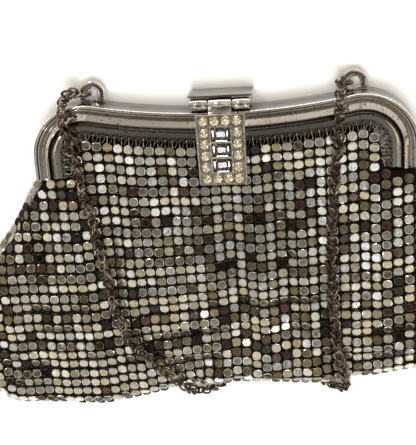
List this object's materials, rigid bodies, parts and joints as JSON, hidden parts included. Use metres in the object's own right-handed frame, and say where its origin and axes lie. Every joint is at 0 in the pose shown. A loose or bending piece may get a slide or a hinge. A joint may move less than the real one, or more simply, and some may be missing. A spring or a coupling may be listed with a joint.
{
  "type": "metal mesh evening purse",
  "caption": "Evening purse of flat-tile metal mesh on a hinged metal frame, with a stone-set flap clasp and a rope chain strap, lying on its back.",
  "frame": {"origin": "on the surface that the purse lies on, below the middle of the box that holds it with its chain", "axes": "+X to the purse's right seen from its front, +Y towards the frame's top, +Z out of the front"},
  "size_m": [0.211, 0.138, 0.02],
  "materials": {
    "frame_metal": "polished nickel, worn",
    "wire_metal": "bright wire",
    "mesh_metal": "bevelled silver tiles, slightly tarnished",
    "gilt_metal": "worn gilt",
    "chain_metal": "dark tarnish",
    "clear_stone": "cut, clear"
  },
  "bodies": {
    "purse": {"front_frame": "frame_metal", "back_frame": "frame_metal", "frame_rivet_left": "frame_metal", "frame_rivet_right": "frame_metal", "front_lacing": "wire_metal", "back_lacing": "wire_metal", "mesh_bag": "mesh_metal", "clasp_base": "frame_metal", "clasp_pin": "frame_metal", "chain_lug_left": "frame_metal", "chain_lug_right": "frame_metal", "chain_ring_left": "chain_metal", "chain_ring_right": "chain_metal", "chain": "chain_metal"},
    "flap": {"clasp_flap": "gilt_metal", "stone_round_01": "clear_stone", "stone_round_02": "clear_stone", "stone_round_03": "clear_stone", "stone_round_04": "clear_stone", "stone_round_05": "clear_stone", "stone_round_06": "clear_stone", "stone_round_07": "clear_stone", "stone_round_08": "clear_stone", "stone_round_09": "clear_stone", "stone_round_10": "clear_stone", "stone_round_11": "clear_stone", "stone_round_12": "clear_stone", "stone_round_13": "clear_stone", "stone_round_14": "clear_stone", "stone_round_15": "clear_stone", "stone_round_16": "clear_stone", "stone_step_1": "clear_stone", "stone_step_2": "clear_stone", "stone_step_3": "clear_stone"}
  },
  "joints": [
    {"name": "clasp_flap_hinge", "type": "hinge", "parent": "purse", "child": "flap", "pos_m": [0.0015, 0.0596, 0.01292], "axis": [-1, 0, 0], "range_deg": [0, 90]}
  ]
}
